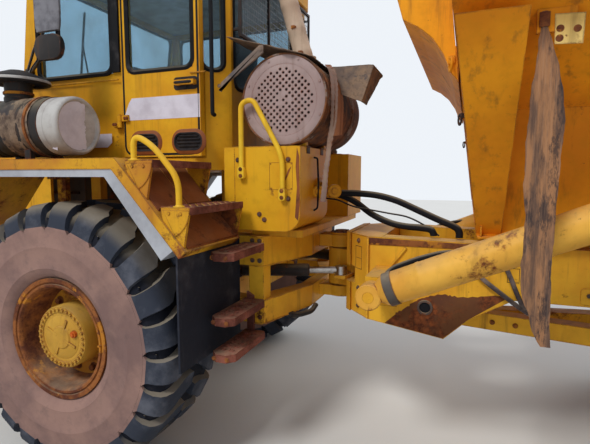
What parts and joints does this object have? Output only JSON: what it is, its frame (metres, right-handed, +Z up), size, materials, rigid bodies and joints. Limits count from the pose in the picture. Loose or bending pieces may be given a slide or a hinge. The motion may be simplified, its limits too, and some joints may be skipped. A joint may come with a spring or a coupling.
{
  "type": "articulated dump truck",
  "caption": "Articulated dump truck with a hinged middle, glazed cab, tilting hood, turning wheels and a tipping load body raised by telescopic cylinders.",
  "frame": {"origin": "on the ground, at the middle of the truck's length and width", "axes": "-X is the front, -Y the left side with the cab door, +Z up"},
  "size_m": [10.2, 2.86, 3.33],
  "materials": {
    "painted_yellow": "faded ochre paint with rust",
    "rim_yellow": "yellow paint with heavy rust",
    "dark_steel": "dusty black paint",
    "rusty_steel": "brown rust",
    "beige_paint": "faded beige, dusty",
    "grey_lip": "weathered grey",
    "rubber": "worn, dusty",
    "tyre": "dusty, red-brown side walls",
    "chrome": "dull chrome",
    "glass": "dusty"
  },
  "bodies": {
    "rear_unit": {"rear_frame": "painted_yellow", "bogie_beams": "dark_steel", "mid_axle": "dark_steel", "rear_axle": "dark_steel", "axle_stays": "painted_yellow", "hitch_yoke": "painted_yellow"},
    "front_unit": {"front_frame": "painted_yellow", "front_axle": "dark_steel", "engine": "dark_steel", "bumper": "painted_yellow", "fender_left": "painted_yellow", "fender_right": "painted_yellow", "fender_lips": "grey_lip", "front_flaps": "rubber", "cab_body": "painted_yellow", "cab_roof": "painted_yellow", "cab_glass": "glass", "driver_seat": "dark_steel", "dash_console": "dark_steel", "air_cleaner": "dark_steel", "side_boxes": "painted_yellow", "cooler_drum": "rusty_steel", "cooler_grille": "beige_paint", "drum_cover": "rusty_steel", "exhaust_stack": "beige_paint", "window_guard": "dark_steel", "ladder_steps": "rusty_steel", "grab_rails": "painted_yellow", "mirrors": "dark_steel", "hitch_hoses": "rubber"},
    "door": {"door_left": "painted_yellow", "door_glass": "glass"},
    "hood": {"hood": "painted_yellow", "hood_grille": "dark_steel"},
    "load_body": {"load_body": "painted_yellow", "body_canopy": "painted_yellow", "body_straps": "rubber"},
    "hoist_barrels": {"hoist_barrels": "painted_yellow"},
    "hoist_stages": {"hoist_stages": "chrome"},
    "hoist_rods": {"hoist_rods": "chrome"},
    "steer_barrel_left": {"steer_barrel_left": "dark_steel"},
    "steer_rod_left": {"steer_rod_left": "chrome"},
    "steer_barrel_right": {"steer_barrel_right": "dark_steel"},
    "steer_rod_right": {"steer_rod_right": "chrome"},
    "wheel_front_left": {"rim_front_left": "rim_yellow", "tyre_front_left": "tyre"},
    "wheel_front_right": {"rim_front_right": "rim_yellow", "tyre_front_right": "tyre"},
    "wheel_mid_left": {"rim_mid_left": "rim_yellow", "tyre_mid_left": "tyre"},
    "wheel_mid_right": {"rim_mid_right": "rim_yellow", "tyre_mid_right": "tyre"},
    "wheel_rear_left": {"rim_rear_left": "rim_yellow", "tyre_rear_left": "tyre"},
    "wheel_rear_right": {"rim_rear_right": "rim_yellow", "tyre_rear_right": "tyre"}
  },
  "joints": [
    {"name": "steer", "type": "hinge", "parent": "rear_unit", "child": "front_unit", "pos_m": [-1.1, 0, 1.1], "axis": [0, 0, 1], "range_deg": [-45, 45], "deforming": ["hitch_hoses"]},
    {"name": "dump", "type": "hinge", "parent": "rear_unit", "child": "load_body", "pos_m": [3.75, 0, 1.25], "axis": [0, 1, 0], "range_deg": [0, 70]},
    {"name": "door_swing", "type": "hinge", "parent": "front_unit", "child": "door", "pos_m": [-2.375, -0.88, 2.1], "axis": [0, 0, -1], "range_deg": [0, 85]},
    {"name": "hood_tilt", "type": "hinge", "parent": "front_unit", "child": "hood", "pos_m": [-4.93, 0, 1.28], "axis": [0, -1, 0], "range_deg": [0, 50]},
    {"name": "spin_front_left", "type": "hinge", "parent": "front_unit", "child": "wheel_front_left", "pos_m": [-2.45, -1.13, 0.807], "axis": [0, 1, 0], "continuous": true},
    {"name": "spin_front_right", "type": "hinge", "parent": "front_unit", "child": "wheel_front_right", "pos_m": [-2.45, 1.13, 0.807], "axis": [0, 1, 0], "continuous": true},
    {"name": "spin_mid_left", "type": "hinge", "parent": "rear_unit", "child": "wheel_mid_left", "pos_m": [1.73, -1.13, 0.807], "axis": [0, 1, 0], "continuous": true},
    {"name": "spin_mid_right", "type": "hinge", "parent": "rear_unit", "child": "wheel_mid_right", "pos_m": [1.73, 1.13, 0.807], "axis": [0, 1, 0], "continuous": true},
    {"name": "spin_rear_left", "type": "hinge", "parent": "rear_unit", "child": "wheel_rear_left", "pos_m": [3.4, -1.13, 0.807], "axis": [0, 1, 0], "continuous": true},
    {"name": "spin_rear_right", "type": "hinge", "parent": "rear_unit", "child": "wheel_rear_right", "pos_m": [3.4, 1.13, 0.807], "axis": [0, 1, 0], "continuous": true},
    {"name": "hoist_tilt", "type": "hinge", "parent": "rear_unit", "child": "hoist_barrels", "pos_m": [-0.6997, 0, 1.115], "axis": [0, 1, 0], "range_deg": [-9.2, 0]},
    {"name": "hoist_stage_out", "type": "slide", "parent": "hoist_barrels", "child": "hoist_stages", "axis": [0.9195, 0, 0.3931], "range_m": [0, 1.45]},
    {"name": "hoist_rod_out", "type": "slide", "parent": "hoist_stages", "child": "hoist_rods", "axis": [0.9195, 0, 0.3931], "range_m": [0, 1.45]},
    {"name": "steer_barrel_left_yaw", "type": "hinge", "parent": "front_unit", "child": "steer_barrel_left", "pos_m": [-1.74, -0.48, 1.1], "axis": [0, 0, 1], "range_deg": [-1.5, 1.5]},
    {"name": "steer_rod_left_out", "type": "slide", "parent": "steer_barrel_left", "child": "steer_rod_left", "axis": [0.9417, 0.3363, 0], "range_m": [-0.166, 0.166]},
    {"name": "steer_barrel_right_yaw", "type": "hinge", "parent": "front_unit", "child": "steer_barrel_right", "pos_m": [-1.74, 0.48, 1.1], "axis": [0, 0, 1], "range_deg": [-1.5, 1.5]},
    {"name": "steer_rod_right_out", "type": "slide", "parent": "steer_barrel_right", "child": "steer_rod_right", "axis": [0.9417, -0.3363, 0], "range_m": [-0.166, 0.166]}
  ],
  "couplings": [
    {"joint": "hoist_tilt", "follows": "dump", "ratio": -0.12696},
    {"joint": "hoist_stage_out", "follows": "dump", "m_per_rad": 1.1801},
    {"joint": "hoist_rod_out", "follows": "dump", "m_per_rad": 1.1801},
    {"joint": "steer_barrel_left_yaw", "follows": "steer", "ratio": 0.028},
    {"joint": "steer_rod_left_out", "follows": "steer", "m_per_rad": -0.21},
    {"joint": "steer_barrel_right_yaw", "follows": "steer", "ratio": 0.028},
    {"joint": "steer_rod_right_out", "follows": "steer", "m_per_rad": 0.21}
  ]
}
